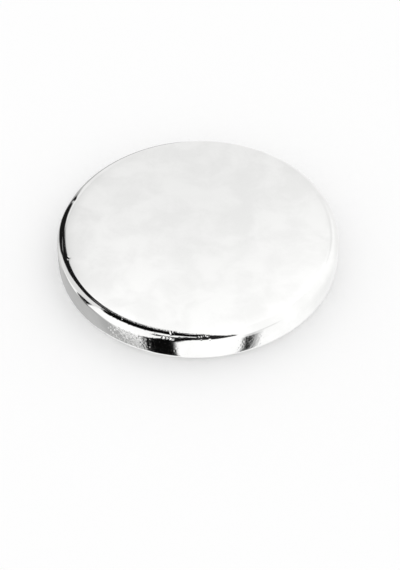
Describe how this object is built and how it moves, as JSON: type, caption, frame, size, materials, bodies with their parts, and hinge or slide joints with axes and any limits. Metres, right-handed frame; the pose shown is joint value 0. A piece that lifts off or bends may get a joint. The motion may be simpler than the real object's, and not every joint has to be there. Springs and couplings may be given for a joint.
{
  "type": "disc magnet",
  "caption": "Flat round magnet with bright nickel plating and chamfered edges. Either face holds to steel or to another magnet.",
  "frame": {"origin": "centre of the lower flat face, on the surface that the disc lies on", "axes": "+Z is the disc's axis and points out of the upper flat face; X and Y lie in the face and are interchangeable"},
  "size_m": [0.025, 0.025, 0.003],
  "materials": {
    "nickel_plate": "polished"
  },
  "bodies": {
    "root": {"magnet_disc": "nickel_plate"}
  },
  "joints": []
}
